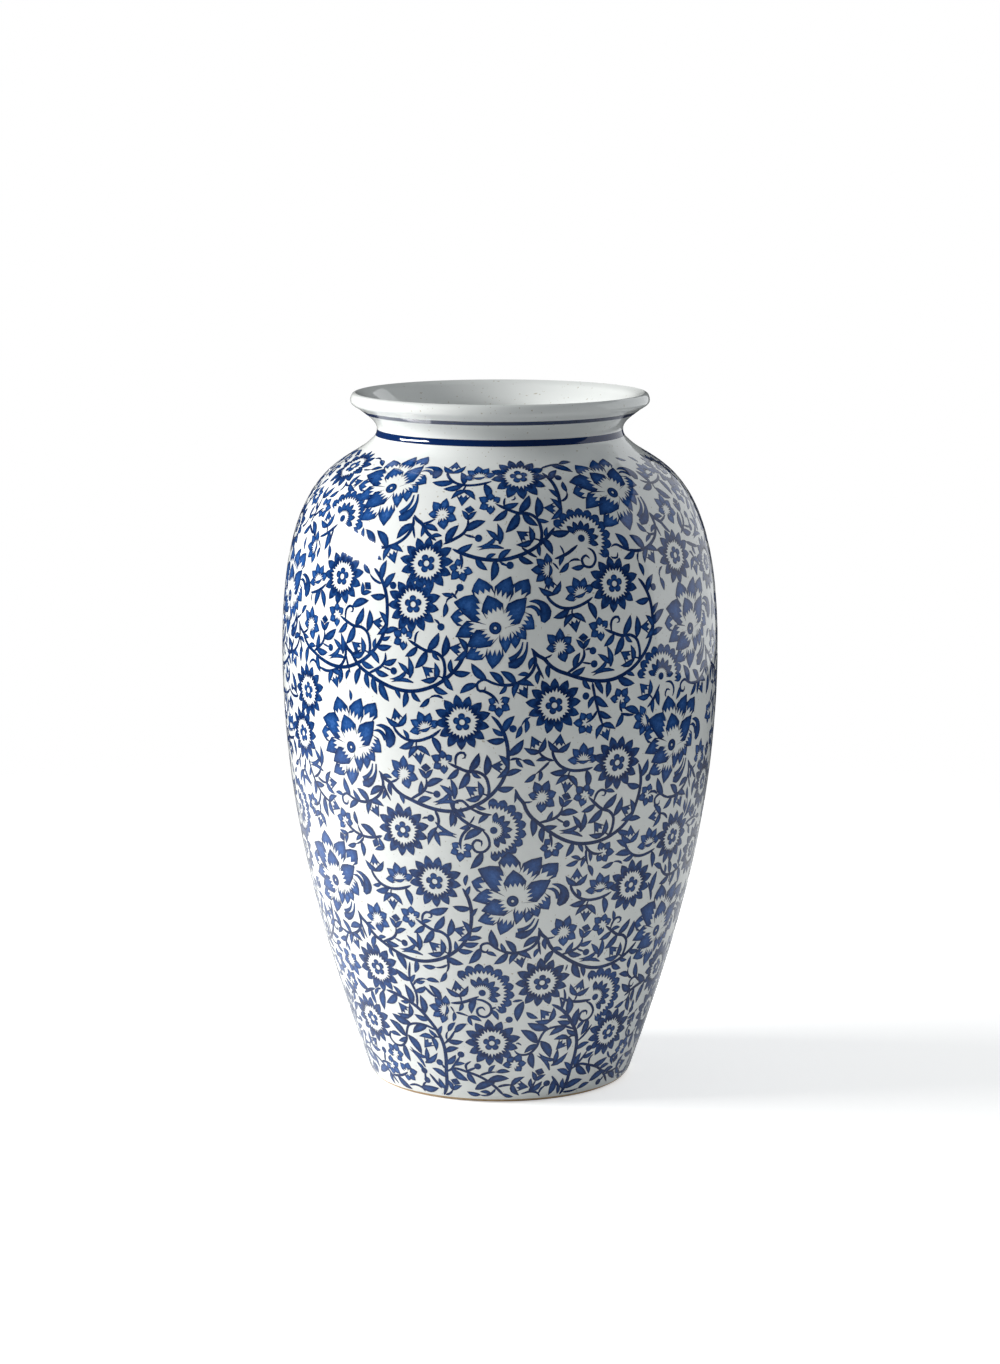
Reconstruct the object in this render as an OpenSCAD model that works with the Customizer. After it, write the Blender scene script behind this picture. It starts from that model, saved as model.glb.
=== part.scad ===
// Ovoid glazed vase with a waisted neck, a flared rolled lip and a bare foot ring.
// Every piece is turned about the Z axis. The origin is the centre of the foot, on the table.

/* [Outline] */
// Overall height, from the table to the crest of the lip
vase_h = 305; // [295:1:320]
// Radius of the widest part of the belly
belly_r = 96; // [90:0.5:102]
// Height of the widest part of the belly
belly_z = 191; // [182:1:200]
// Outer radius of the wall just above the rounded foot edge
foot_wall_r = 59; // [57:0.5:62]
// Outer radius of the neck at its narrowest
neck_r = 53.8; // [52:0.2:56]
// Outer radius of the lip at its widest
lip_r = 65.4; // [63:0.2:68]
// Radius of the straight throat inside the neck
throat_r = 48.8; // [46:0.2:49.4]
// Height of the straight throat, along the axis
throat_h = 6; // [5:0.5:7]

/* [Foot] */
// Outer radius of the ring that stands on the table
foot_r = 55; // [53:0.5:56]
// Inner radius of the foot ring
foot_bore_r = 47; // [44:0.5:49]
// Depth of the recess under the floor
recess_h = 6; // [4:0.5:8]
// Height above the table at which the outer glaze stops
bare_h = 1.6; // [1:0.1:3]

/* [Wall] */
// Thickness of the clay wall
clay_t = 5; // [4:0.25:6]
// Thickness of the clay floor plate
floor_t = 5; // [4:0.25:7]
// Thickness of the glaze coats
glaze_t = 0.4; // [0.3:0.05:0.6]
// Height of the lapped joints between the sections
lap_h = 3; // [2:0.5:4]

/* [Painted lines] */
// Width of the broad line at the root of the neck
neck_line_w = 2.3; // [1.5:0.1:3]
// Width of the fine line under the lip
lip_line_w = 1.2; // [0.8:0.1:2]
// Depth of the painted lines in the glaze
line_t = 0.15; // [0.1:0.05:0.25]

/* [Hidden] */
$fn = 180;

clay_colour = [0.86, 0.80, 0.70];
white_glaze = [0.94, 0.95, 0.94];
cobalt = [0.09, 0.17, 0.42];

// Heights worked out from the overall height
neck_z = vase_h - 16;        // narrowest part of the neck
neck_root_z = vase_h - 21.5; // where the shoulder turns up into the neck
lip_under_z = vase_h - 8;    // underside of the lip
lip_wide_z = vase_h - 3.4;   // widest part of the lip
foot_edge_z = 4.8;           // top of the rounded foot edge
plate_top_z = recess_h + floor_t;
floor_z = plate_top_z + glaze_t;
throat_z = vase_h - 20.5;    // bottom of the straight throat

// Heights of the joints between the sections
lower_joint_z = 104;
belly_joint_z = 206;
neck_joint_z = neck_root_z - 4.5;
lip_joint_z = vase_h - 10.5;

// Smallest step kept between two points of an outline
point_gap = 0.15;

// A cubic curve from a to d with handles b and c, in n steps
function curve(a, b, c, d, n) = [
  for (i = [0:n])
    let (t = i / n, s = 1 - t)
      s * s * s * a + 3 * s * s * t * b + 3 * s * t * t * c + t * t * t * d
];

// A path without its first point, for joining it to the one before
function tail(path) = [for (i = [1:len(path) - 1]) path[i]];

// Direction of a path at point i
function along(path, i) =
  let (d = path[min(i + 1, len(path) - 1)] - path[max(i - 1, 0)]) d / norm(d);

// A rising path moved towards the axis by d, square to itself
function inset(path, d) = [
  for (i = [0:len(path) - 1])
    let (t = along(path, i)) path[i] - d * [t[1], -t[0]]
];

// Radius of a rising path at height z
function r_at(path, z) = lookup(z, [for (p = path) [p[1], p[0]]]);

// The stretch of a rising path between two heights
function span(path, low, high) = concat(
  [[r_at(path, low), low]],
  [for (p = path) if (p[1] > low + point_gap && p[1] < high - point_gap) p],
  [[r_at(path, high), high]]
);

function reversed(path) = [for (i = [len(path) - 1:-1:0]) path[i]];

// The outer surface of the finished vase, from the table up to the crest of the lip
foot_lean = [0.348, 1];
neck_lean = [-1.1, 1];
neck_root = [neck_r + 3.5, neck_root_z];
lip_under = [neck_r + 6.4, lip_under_z];
crest = [lip_r - 2.2, vase_h];
wall_foot = [foot_wall_r, foot_edge_z];
belly = [belly_r, belly_z];
skin_out = concat(
  curve([foot_r, 0], [foot_r + 2, 0.1], wall_foot - 2.6 * foot_lean, wall_foot, 6),
  tail(curve(wall_foot, wall_foot + 51.6 * foot_lean, belly - [0, 73.7], belly, 26)),
  tail(curve(belly, belly + [0, 82.1], neck_root - 10.6 * neck_lean, neck_root, 24)),
  tail(curve(neck_root, neck_root + 1.9 * neck_lean, [neck_r, neck_z - 2.6], [neck_r, neck_z], 8)),
  tail(curve([neck_r, neck_z], [neck_r, neck_z + 3.6], lip_under - [2.4, 2], lip_under, 8)),
  tail(curve(lip_under, lip_under + [2.4, 2], [lip_r, lip_wide_z - 2], [lip_r, lip_wide_z], 7)),
  tail(curve([lip_r, lip_wide_z], [lip_r, lip_wide_z + 1.8], crest + [1.4, -0.1], crest, 7))
);

// The inner surface of the finished vase, from the floor up to the crest of the lip
wall_t = clay_t + 2 * glaze_t;
cove_r = foot_wall_r - 15;
cove_top_z = floor_z + 11;
shoulder_top_z = throat_z - 6.5;
inner_wall = span(inset(span(skin_out, foot_edge_z, neck_root_z), wall_t), cove_top_z, shoulder_top_z);
wall_start = inner_wall[0];
wall_end = inner_wall[len(inner_wall) - 1];
throat_low = [throat_r, throat_z];
throat_high = [throat_r, throat_z + throat_h];
skin_in = concat(
  curve([cove_r, floor_z], [cove_r + 6, floor_z + 0.1], wall_start - 7 * foot_lean, wall_start, 8),
  tail(inner_wall),
  tail(curve(wall_end, wall_end + 2.4 * neck_lean, throat_low - [0, 1.6], throat_low, 5)),
  [throat_high],
  tail(curve(throat_high, throat_high + [0, 5.5], crest - [7, 5], crest - [1.3, 0.1], 9)),
  [crest]
);

// The two faces of the clay, under the glaze coats
clay_out = inset(skin_out, glaze_t);
clay_crest_z = vase_h - glaze_t;
clay_in = inset(skin_in, -glaze_t);

// Radius of the middle of the clay wall at height z
function clay_mid(z) = (r_at(clay_out, z) + r_at(clay_in, z)) / 2;

// Outline of the step of a lapped joint, from the outside in. The inner half stands up by lap_h.
function lap(z) = [[clay_mid(z), z], [clay_mid(z), z + lap_h]];

// Outline of a clay section between two lapped joints
function section(low, high) = concat(
  span(clay_out, low, high), lap(high),
  reversed(span(clay_in, low + lap_h, high + lap_h)), reversed(lap(low))
);

module turned(outline) {
  rotate_extrude() polygon(outline);
}

// Turned ring that the vase stands on. Its foot face and lower edge are bare clay.
module foot_ring() {
  color(clay_colour)
    turned(concat(span(clay_out, 0, recess_h), [[foot_bore_r, recess_h], [foot_bore_r, 0.8], [foot_bore_r + 0.8, 0]]));
}

// Floor of the vase, let into the lower wall and resting on the foot ring
plate_r = foot_wall_r - 5;
module base_plate() {
  color(clay_colour)
    translate([0, 0, recess_h]) cylinder(r = plate_r, h = floor_t);
}

// Lower section, with the cove that laps over the edge of the floor
module lower_wall() {
  color(clay_colour)
    turned(concat(
      [[plate_r, recess_h]],
      span(clay_out, recess_h, lower_joint_z), lap(lower_joint_z),
      reversed(span(clay_in, plate_top_z, lower_joint_z + lap_h)),
      [[plate_r, plate_top_z]]
    ));
}

// Middle section, with the widest part of the belly
module belly_wall() {
  color(clay_colour) turned(section(lower_joint_z, belly_joint_z));
}

// Upper section, closing in from the belly to the root of the neck
module shoulder_wall() {
  color(clay_colour) turned(section(belly_joint_z, neck_joint_z));
}

// Waisted neck, with the straight throat inside
module neck_collar() {
  color(clay_colour) turned(section(neck_joint_z, lip_joint_z));
}

// Flared, rolled lip
module lip_roll() {
  color(clay_colour)
    turned(concat(
      span(clay_out, lip_joint_z, clay_crest_z),
      reversed(span(clay_in, lip_joint_z + lap_h, clay_crest_z)), reversed(lap(lip_joint_z))
    ));
}

// Heights of the painted lines
neck_line_low = neck_z - 2.3;
neck_line_high = neck_line_low + neck_line_w;
lip_line_low = lip_under_z - 0.9;
lip_line_high = lip_line_low + lip_line_w;

// Outline of the shallow bed that a painted line fills
function bed(low, high) = inset(span(skin_out, low, high), line_t);

// Clear white glaze coat on the outside, from the bare foot edge to the crest of the lip
module outer_glaze() {
  color(white_glaze)
    turned(concat(
      span(skin_out, bare_h, neck_line_low), bed(neck_line_low, neck_line_high),
      span(skin_out, neck_line_high, lip_line_low), bed(lip_line_low, lip_line_high),
      span(skin_out, lip_line_high, vase_h),
      reversed(span(clay_out, bare_h, clay_crest_z))
    ));
}

// Clear white glaze coat on the inside, from the crest of the lip to the middle of the floor
module inner_glaze() {
  color(white_glaze)
    turned(concat(
      [[0, plate_top_z]], span(clay_in, plate_top_z, clay_crest_z),
      reversed(span(skin_in, floor_z, vase_h)), [[0, floor_z]]
    ));
}

// Glaze coat on the underside of the floor, inside the foot ring
module recess_glaze() {
  color(white_glaze)
    translate([0, 0, recess_h - glaze_t]) cylinder(r = foot_bore_r, h = glaze_t);
}

// A painted line, filling its bed in the outer glaze
module painted_line(low, high) {
  color(cobalt) turned(concat(span(skin_out, low, high), reversed(bed(low, high))));
}

module neck_line() {
  painted_line(neck_line_low, neck_line_high);
}

module lip_line() {
  painted_line(lip_line_low, lip_line_high);
}

foot_ring();
base_plate();
lower_wall();
belly_wall();
shoulder_wall();
neck_collar();
lip_roll();
outer_glaze();
inner_glaze();
recess_glaze();
neck_line();
lip_line();
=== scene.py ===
import bpy
import numpy as np
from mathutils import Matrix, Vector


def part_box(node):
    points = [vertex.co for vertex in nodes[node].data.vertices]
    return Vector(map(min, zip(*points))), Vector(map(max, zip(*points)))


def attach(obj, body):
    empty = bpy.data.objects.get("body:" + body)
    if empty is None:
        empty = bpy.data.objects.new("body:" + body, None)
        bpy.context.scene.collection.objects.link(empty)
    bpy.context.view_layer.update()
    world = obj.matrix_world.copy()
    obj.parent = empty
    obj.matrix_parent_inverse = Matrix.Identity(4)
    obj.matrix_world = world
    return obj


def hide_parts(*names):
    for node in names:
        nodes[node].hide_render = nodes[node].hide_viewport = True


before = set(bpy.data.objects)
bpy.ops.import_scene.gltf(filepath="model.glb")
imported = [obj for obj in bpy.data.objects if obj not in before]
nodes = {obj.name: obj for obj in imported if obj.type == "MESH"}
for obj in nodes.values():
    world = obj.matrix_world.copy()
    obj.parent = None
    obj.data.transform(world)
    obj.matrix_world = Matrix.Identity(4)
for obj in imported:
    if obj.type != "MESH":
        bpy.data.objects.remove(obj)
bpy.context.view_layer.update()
mm = 0.001  # lengths below are in millimetres, and meshes are built in metres

# Camera, lights and floor

cameraSetup = {
    "distance": 1630,  # from the vase's axis
    "height": 449,
    "tilt": 10.37,  # degrees below level
    "lens": 98.5,
    "shiftUp": 0.042,
}


def addCamera(setup):
    # In front of the vase, looking slightly down
    data = bpy.data.cameras.new("camera")
    data.lens = setup["lens"]
    data.shift_y = setup["shiftUp"]
    camera = bpy.data.objects.new("camera", data)
    camera.location = (0, -setup["distance"] * mm, setup["height"] * mm)
    camera.rotation_euler = (np.radians(90 - setup["tilt"]), 0, 0)
    bpy.context.scene.collection.objects.link(camera)
    bpy.context.scene.camera = camera


def addMath(tree, operation, first, second):
    # One sum on two values, each a plain number or another node's output
    node = tree.nodes.new("ShaderNodeMath")
    node.operation = operation
    for socket, value in zip(node.inputs, (first, second)):
        if isinstance(value, (int, float)):
            socket.default_value = value
        else:
            tree.links.new(value, socket)
    return node.outputs["Value"]


lightSetup = {
    # name: degrees round from the camera's side (left is negative), degrees up, distance, width, height,
    # watts, colour
    "window": (-88, 20, 1300, 800, 200, 27, (1.0, 0.995, 0.98)),
    "rightWall": (123, 17, 1300, 1950, 1250, 6.9, (0.97, 0.985, 1.0)),
}
aimHeight = 160


def addLights(setup):
    # Soft rectangular lamps, each turned to face the middle of the vase
    for name, (bearing, up, distance, width, height, power, colour) in setup.items():
        data = bpy.data.lights.new(name, "AREA")
        data.shape, data.size, data.size_y = "RECTANGLE", width * mm, height * mm
        data.energy, data.color = power, colour
        lamp = bpy.data.objects.new(name, data)
        a, b = np.radians(bearing), np.radians(up)
        way = Vector((np.cos(b) * np.sin(a), -np.cos(b) * np.cos(a), np.sin(b)))
        lamp.location = Vector((0, 0, aimHeight * mm)) + way * distance * mm
        lamp.rotation_euler = way.to_track_quat("Z", "Y").to_euler()
        lamp.visible_camera = False
        bpy.context.scene.collection.objects.link(lamp)


skySetup = {
    "seen": (1.0, 1.0, 1.0, 1),
    "light": (0.93, 0.97, 1.0, 1),
    "strength": 0.33,
    "mirrored": 0.05,  # how strongly the glaze mirrors the room
}


def addSky(setup):
    # A white surround for the camera, which lights the vase only dimly and is mirrored even less
    world = bpy.data.worlds.new("studio")
    world.use_nodes = True
    tree = world.node_tree
    light, out = tree.nodes["Background"], tree.nodes["World Output"]
    seen = tree.nodes.new("ShaderNodeBackground")
    light.inputs["Color"].default_value = setup["light"]
    seen.inputs["Color"].default_value = setup["seen"]
    mix, path = tree.nodes.new("ShaderNodeMixShader"), tree.nodes.new("ShaderNodeLightPath")
    less = addMath(tree, "MULTIPLY", path.outputs["Is Glossy Ray"], setup["mirrored"] - setup["strength"])
    tree.links.new(addMath(tree, "ADD", less, setup["strength"]), light.inputs["Strength"])
    tree.links.new(path.outputs["Is Camera Ray"], mix.inputs[0])
    tree.links.new(light.outputs[0], mix.inputs[1])
    tree.links.new(seen.outputs[0], mix.inputs[2])
    tree.links.new(mix.outputs[0], out.inputs["Surface"])
    bpy.context.scene.world = world


floorSetup = {
    "side": 4000,
    "colour": (0.87, 0.87, 0.86, 1),
    "glow": 0.5,  # seen by the camera only, to keep the shadow faint
    "roughness": 0.8,
    "solid": 300,  # radius from which it fades
    "gone": 800,  # and by which nothing is left of it
}


def addFloor(setup):
    # A pale tabletop that fades out into the white surround between two radii
    half = setup["side"] / 2 * mm
    mesh = bpy.data.meshes.new("floor")
    corners = [(-half, -half, 0), (half, -half, 0), (half, half, 0), (-half, half, 0)]
    mesh.from_pydata(corners, [], [(0, 1, 2, 3)])
    floor = bpy.data.objects.new("floor", mesh)
    bpy.context.scene.collection.objects.link(floor)
    material = bpy.data.materials.new("paleFloor")
    material.use_nodes = True
    tree = material.node_tree
    shader = tree.nodes["Principled BSDF"]
    shader.inputs["Base Color"].default_value = setup["colour"]
    shader.inputs["Roughness"].default_value = setup["roughness"]
    shader.inputs["Emission Color"].default_value = (1, 1, 1, 1)
    path = tree.nodes.new("ShaderNodeLightPath")
    glow = addMath(tree, "MULTIPLY", path.outputs["Is Camera Ray"], setup["glow"])
    tree.links.new(glow, shader.inputs["Emission Strength"])
    place, far = tree.nodes.new("ShaderNodeTexCoord"), tree.nodes.new("ShaderNodeVectorMath")
    fade = tree.nodes.new("ShaderNodeMapRange")
    far.operation, fade.interpolation_type = "LENGTH", "SMOOTHERSTEP"
    tree.links.new(place.outputs["Object"], far.inputs[0])
    tree.links.new(far.outputs["Value"], fade.inputs["Value"])
    fade.inputs["From Min"].default_value = setup["solid"] * mm
    fade.inputs["From Max"].default_value = setup["gone"] * mm
    fade.inputs["To Min"].default_value, fade.inputs["To Max"].default_value = 1, 0
    tree.links.new(fade.outputs["Result"], shader.inputs["Alpha"])
    mesh.materials.append(material)


addCamera(cameraSetup)
addLights(lightSetup)
addSky(skySetup)
addFloor(floorSetup)
bpy.context.scene.view_settings.view_transform = "Standard"
print("stage: camera, lights and floor are set")

# Materials


def newMaterial(name, **values):
    # A Principled material whose plain values are set on the shader's own sockets
    material = bpy.data.materials.new(name)
    material.use_nodes = True
    tree = material.node_tree
    shader = tree.nodes["Principled BSDF"]
    for socket, value in values.items():
        shader.inputs[socket.replace("_", " ")].default_value = value
    return material, tree, shader


def addNoise(tree, scale, detail=3.0, roughness=0.5):
    # Noise on Object coordinates, in metres, so that scale is in features per metre
    place = tree.nodes.new("ShaderNodeTexCoord")
    noise = tree.nodes.new("ShaderNodeTexNoise")
    noise.inputs["Scale"].default_value = scale
    noise.inputs["Detail"].default_value = detail
    noise.inputs["Roughness"].default_value = roughness
    tree.links.new(place.outputs["Object"], noise.inputs["Vector"])
    return noise.outputs["Fac"]


def addRamp(tree, source, stops):
    # A value turned into colour, blended between stops of (position, colour)
    ramp = tree.nodes.new("ShaderNodeValToRGB")
    ramp.color_ramp.elements[0].position, ramp.color_ramp.elements[0].color = stops[0]
    ramp.color_ramp.elements[1].position, ramp.color_ramp.elements[1].color = stops[1]
    for position, colour in stops[2:]:
        ramp.color_ramp.elements.new(position).color = colour
    tree.links.new(source, ramp.inputs["Fac"])
    return ramp.outputs["Color"]


def addBump(tree, shader, source, depth):
    # The surface's facing tilted as if it rose by depth mm where the source goes from 0 to 1
    bump = tree.nodes.new("ShaderNodeBump")
    bump.inputs["Strength"].default_value = 1.0
    bump.inputs["Distance"].default_value = depth * mm
    tree.links.new(source, bump.inputs["Height"])
    tree.links.new(bump.outputs["Normal"], shader.inputs["Normal"])


glazeLook = {
    "roughness": 0.055,
    "cloudiness": 0.05,  # how far the roughness changes from place to place
    "cloudScale": 55,  # scales are in features per metre
    "waveScale": 38,  # slow unevenness of the fired glaze
    "waveDepth": 0.045,
    "tintScale": 22,
    "greyer": (0.735, 0.76, 0.745, 1),
    "whiter": (0.79, 0.805, 0.79, 1),
    "speckScale": 900,  # a few iron specks, as fired glazes have
    "speck": (0.55, 0.47, 0.36, 1),
    "speckDepth": 0.7,
}


def addGlazeWaves(tree, shader):
    # The same slow waves in the white glaze and over the print
    addBump(tree, shader, addNoise(tree, glazeLook["waveScale"], 2.0, 0.45), glazeLook["waveDepth"])


def makeWhiteGlaze(look):
    # Slow changes of tint times rare specks, and a roughness that drifts round its middle value
    material, tree, shader = newMaterial("whiteGlaze", IOR=1.52)
    clouds, dots = addNoise(tree, look["tintScale"], 5.0, 0.6), addNoise(tree, look["speckScale"], 0.0)
    tint = addRamp(tree, clouds, [(0.3, look["greyer"]), (0.7, look["whiter"])])
    speck = addRamp(tree, dots, [(0.17, look["speck"]), (0.21, (1, 1, 1, 1))])
    mix = tree.nodes.new("ShaderNodeMix")
    mix.data_type, mix.blend_type = "RGBA", "MULTIPLY"
    mix.inputs["Factor"].default_value = look["speckDepth"]
    tree.links.new(tint, mix.inputs["A"])
    tree.links.new(speck, mix.inputs["B"])
    tree.links.new(mix.outputs["Result"], shader.inputs["Base Color"])
    addGlazeWaves(tree, shader)
    cloud = addMath(tree, "MULTIPLY", addNoise(tree, look["cloudScale"], 4.0), look["cloudiness"])
    lowest = look["roughness"] - look["cloudiness"] / 2
    tree.links.new(addMath(tree, "ADD", cloud, lowest), shader.inputs["Roughness"])
    return material


inkLook = {
    "thin": (0.070, 0.195, 0.530, 1),
    "middle": (0.014, 0.069, 0.245, 1),
    "full": (0.002, 0.017, 0.085, 1),
    # scale, detail and roughness of each change in the ink, and how far it goes
    "grain": (700, 4.0, 0.7, 0.8),
    "pooling": (60, 3.0, 0.6, 0.5),
}


def makeCobalt(look):
    # Ink strength is the print's own "ink" value, plus a fine grain and slow pooling that average nothing
    material, tree, shader = newMaterial("cobaltPrint", IOR=1.52, Roughness=glazeLook["roughness"])
    ink = tree.nodes.new("ShaderNodeAttribute")
    ink.attribute_name = "ink"
    strength = ink.outputs["Fac"]
    for scale, detail, roughness, amount in (look["grain"], look["pooling"]):
        swing = addMath(tree, "SUBTRACT", addNoise(tree, scale, detail, roughness), 0.5)
        strength = addMath(tree, "ADD", strength, addMath(tree, "MULTIPLY", swing, amount))
    colour = addRamp(tree, strength, [(0.0, look["thin"]), (1.0, look["full"]), (0.55, look["middle"])])
    tree.links.new(colour, shader.inputs["Base Color"])
    addGlazeWaves(tree, shader)
    return material


clayLook = {
    "mottleScale": 120,
    "gritScale": 1500,
    "gritDepth": 0.12,
    "smoothest": 0.65,
    "roughnessSpan": 0.3,
}


def makeClay(name, light, dark, look=clayLook):
    # Mottled from dark to light, with a fine grit that is rougher where it stands up
    material, tree, shader = newMaterial(name, IOR=1.45, Specular_IOR_Level=0.3)
    body = addRamp(tree, addNoise(tree, look["mottleScale"], 8.0, 0.65), [(0.25, dark), (0.75, light)])
    tree.links.new(body, shader.inputs["Base Color"])
    grit = addNoise(tree, look["gritScale"], 4.0, 0.7)
    addBump(tree, shader, grit, look["gritDepth"])
    rough = addMath(tree, "ADD", addMath(tree, "MULTIPLY", grit, look["roughnessSpan"]), look["smoothest"])
    tree.links.new(rough, shader.inputs["Roughness"])
    return material


whiteGlaze = makeWhiteGlaze(glazeLook)
cobaltPrint = makeCobalt(inkLook)
firedClay = makeClay("firedClay", (0.60, 0.45, 0.28, 1), (0.36, 0.22, 0.11, 1))
innerClay = makeClay("innerClay", (0.74, 0.66, 0.54, 1), (0.62, 0.53, 0.41, 1))
print("stage: materials are made")

# The glaze skin, taken from the CAD nodes


def ringPoints(names):
    # Each vertex and triangle edge of the nodes, folded round the axis into (radius, height) pairs
    points, edges = [], []
    for name in names:
        mesh = nodes[name].data
        place = np.empty(len(mesh.vertices) * 3)
        mesh.vertices.foreach_get("co", place)
        place = place.reshape(-1, 3) / mm
        folded = np.stack([np.hypot(place[:, 0], place[:, 1]), place[:, 2]], 1).round(3)
        corners = np.empty(len(mesh.loops), int)
        mesh.loops.foreach_get("vertex_index", corners)
        corners = corners.reshape(-1, 3)
        pairs = np.concatenate([corners[:, [0, 1]], corners[:, [1, 2]], corners[:, [2, 0]]])
        points.append(folded)
        edges.append(np.concatenate([folded[pairs[:, 0]], folded[pairs[:, 1]]], 1))
    return np.unique(np.concatenate(points), axis=0), np.unique(np.concatenate(edges), axis=0)


skinFinding = {
    "levelEdge": 0.01,  # edges that rise less than this say nothing about the outline
    "slack": 0.012,  # how near the outline a vertex must lie
    "spacing": 0.3,  # least rise from one kept vertex to the next
    "axis": 1.0,  # vertices this near the axis belong to the floor
}


def skinOutline(names, hand):
    # At each height the farthest edge (hand 1) or the nearest (hand -1) is found; vertices on it are kept
    points, edges = ringPoints(names)
    edges = edges[np.abs(edges[:, 1] - edges[:, 3]) > skinFinding["levelEdge"]]
    low, high = np.minimum(edges[:, 1], edges[:, 3]), np.maximum(edges[:, 1], edges[:, 3])
    z = points[:, 1][:, None]
    share = (z - edges[:, 1]) / (edges[:, 3] - edges[:, 1])
    radius = edges[:, 0] + share * (edges[:, 2] - edges[:, 0])
    crossed = (z >= low - 1e-6) & (z <= high + 1e-6)
    limit = np.where(crossed, hand * radius, -1e9).max(1)
    near = hand * points[:, 0] >= limit - skinFinding["slack"]
    kept = points[near & (points[:, 0] > skinFinding["axis"])]
    kept = kept[np.argsort(kept[:, 1])]
    return kept[np.append(True, np.diff(kept[:, 1]) > skinFinding["spacing"])]


def hermite(points, where):
    # Smooth curve through the points, whose slope at each is the direction between its neighbours;
    # where is the length along it
    steps = np.hypot(*np.diff(points, axis=0).T)
    along = np.append(0, np.cumsum(steps))
    slope = np.gradient(points, along, axis=0)
    k = np.clip(np.searchsorted(along, where, "right") - 1, 0, len(steps) - 1)
    h = steps[k][:, None]
    t = (where - along[k])[:, None] / h
    a, b = points[k], points[k + 1]
    return (
        (2 * t**3 - 3 * t**2 + 1) * a + (t**3 - 2 * t**2 + t) * h * slope[k]
        + (3 * t**2 - 2 * t**3) * b + (t**3 - t**2) * h * slope[k + 1]
    )


def lengthOf(points):
    # Total of the straight steps from point to point
    return np.hypot(*np.diff(points, axis=0).T).sum()


def squareTo(line):
    # Unit vectors square to a line of points, to its right
    slope = np.gradient(line, axis=0)
    slope /= np.hypot(*slope.T)[:, None]
    return np.stack([slope[:, 1], -slope[:, 0]], 1)


turning = {
    "columns": 320,
    "bodyStep": 2.4,  # spacing of the rings on the body
    "lipStep": 0.7,  # and on the neck and lip
    "lipFrom": 281,  # height at which the finer spacing starts
    "coat": 0.4,  # depth of the glaze coats
    "sharp": 40,  # degrees past which an edge isn't smoothed over
}


def ringed(points):
    # The outline with close rings on the neck and lip and wider ones below
    length = lengthOf(points)
    fine = hermite(points, np.arange(0, length, 0.1))
    change = np.interp(turning["lipFrom"], fine[:, 1], np.arange(len(fine)) * 0.1)
    body = np.linspace(0, change, int(change / turning["bodyStep"]) + 1)[:-1]
    lip = np.linspace(change, length, int((length - change) / turning["lipStep"]) + 1)
    return hermite(points, np.append(body, lip))


def gridQuads(rows, columns, across, along):
    # Corner numbers of a grid's quads. across and along say if its last column and row join the first.
    i = np.arange(rows if along else rows - 1)[:, None]
    j = np.arange(columns if across else columns - 1)[None, :]
    up, beside = (i + 1) % rows, (j + 1) % columns
    return np.stack([
        i * columns + j, i * columns + beside, up * columns + beside, up * columns + j
    ], -1).reshape(-1, 4)


def turned(name, outline, closed, material, replaced, columns=turning["columns"]):
    # A closed outline carried once round the axis: point (r, z) goes to (r sin a, -r cos a, z).
    # An open outline starts and ends on the axis, in one pole vertex each.
    r, z = outline.T
    area = (r * np.roll(z, -1) - np.roll(r, -1) * z).sum()
    if area < 0:
        outline = outline[::-1]
    body = outline if closed else outline[1:-1]
    angle = np.arange(columns) * 2 * np.pi / columns
    r, z = body.T
    rings = np.stack([
        r[:, None] * np.sin(angle), -r[:, None] * np.cos(angle), np.repeat(z[:, None], columns, 1)
    ], -1).reshape(-1, 3)
    faces = gridQuads(len(body), columns, True, closed).tolist()
    if not closed:
        poles = np.array([[0, 0, outline[0, 1]], [0, 0, outline[-1, 1]]])
        start, end, top = len(rings), len(rings) + 1, (len(body) - 1) * columns
        here = np.arange(columns)
        beside = (here + 1) % columns
        faces += np.stack([np.full(columns, start), beside, here], 1).tolist()
        faces += np.stack([top + here, top + beside, np.full(columns, end)], 1).tolist()
        rings = np.concatenate([rings, poles])
    mesh = bpy.data.meshes.new(name)
    mesh.from_pydata((rings * mm).tolist(), [], faces)
    mesh.shade_smooth()
    mesh.set_sharp_from_angle(angle=np.radians(turning["sharp"]))
    return addPiece(name, mesh, material, replaced)


def addPiece(name, mesh, material, replaced=()):
    # Puts a mesh in the scene on the vase's one body
    piece = bpy.data.objects.new(name, mesh)
    bpy.context.scene.collection.objects.link(piece)
    mesh.materials.append(material)
    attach(piece, "root")
    if replaced:
        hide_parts(*replaced)
    return piece


outerPoints = skinOutline(["outer_glaze", "neck_line", "lip_line"], 1)
innerPoints = skinOutline(["inner_glaze"], -1)
outerSkin = ringed(outerPoints)
innerSkin = ringed(innerPoints)
floorHeight = innerPoints[0, 1]


def coatOutside():
    # The outer skin, closed by every third of its points moved in by the coat's depth
    back = (outerSkin - turning["coat"] * squareTo(outerSkin))[2:-1:3]
    outline = np.concatenate([outerSkin, back[::-1]])
    turned("outerGlaze", outline, True, whiteGlaze, ["outer_glaze"])


def coatInside():
    # From the axis along the floor and up the wall, then back down behind it and under the floor
    rim, behind = innerSkin[0, 0], floorHeight - turning["coat"]
    flat = np.stack([np.linspace(0, rim, 14)[:-1], np.full(13, floorHeight)], 1)
    back = (innerSkin + turning["coat"] * squareTo(innerSkin))[2:-1:4]
    outline = np.concatenate([flat, innerSkin, back[::-1], [[rim, behind], [0, behind]]])
    turned("innerGlaze", outline, False, whiteGlaze, ["inner_glaze"])


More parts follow.
